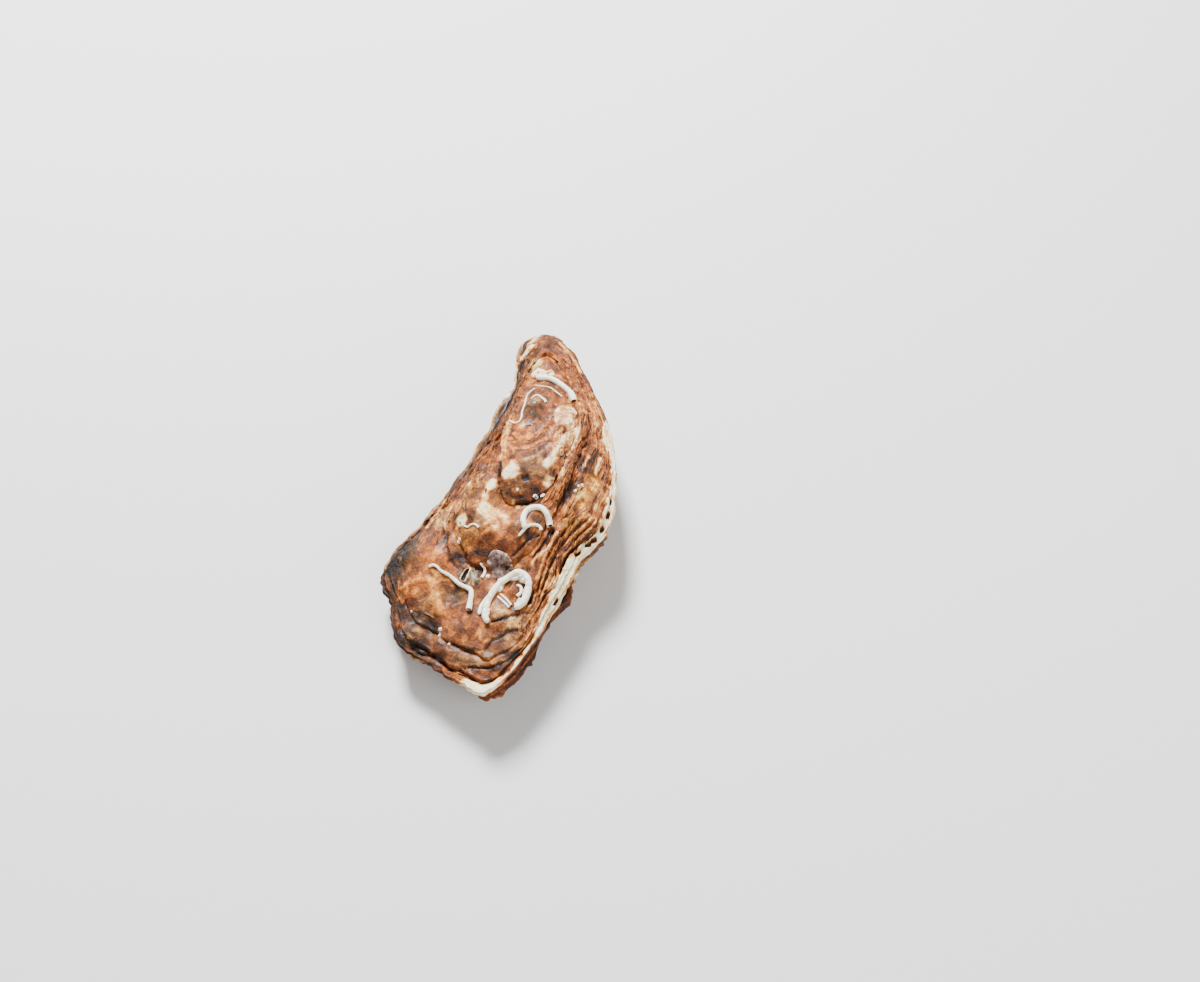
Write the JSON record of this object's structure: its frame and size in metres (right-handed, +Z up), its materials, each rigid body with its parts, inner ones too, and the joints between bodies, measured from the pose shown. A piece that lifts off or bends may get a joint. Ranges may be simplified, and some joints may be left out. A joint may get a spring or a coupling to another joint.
{
  "type": "whole oyster, closed",
  "caption": "Closed cupped oyster lying on its deep lower valve: a long wedge of stepped, flaky shell with worm tubes cemented on top.",
  "frame": {"origin": "on the surface the oyster lies on, under the middle of its bounding box", "axes": "+Y along the shell towards the hinge, +X across it, +Z up through the upper valve"},
  "size_m": [0.0602, 0.121, 0.0278],
  "materials": {
    "upper_shell": "flaky horn and chalk, wet in places",
    "lower_shell": "rough flaky horn and chalk",
    "worm_tube": "chalky",
    "barnacle_plate": "chalky, ridged"
  },
  "bodies": {
    "root": {"upper_valve": "upper_shell", "lower_valve": "lower_shell", "tube_crest": "worm_tube", "tube_hook": "worm_tube", "tube_bar": "worm_tube", "tube_crook": "worm_tube", "barnacle": "barnacle_plate"}
  },
  "joints": []
}
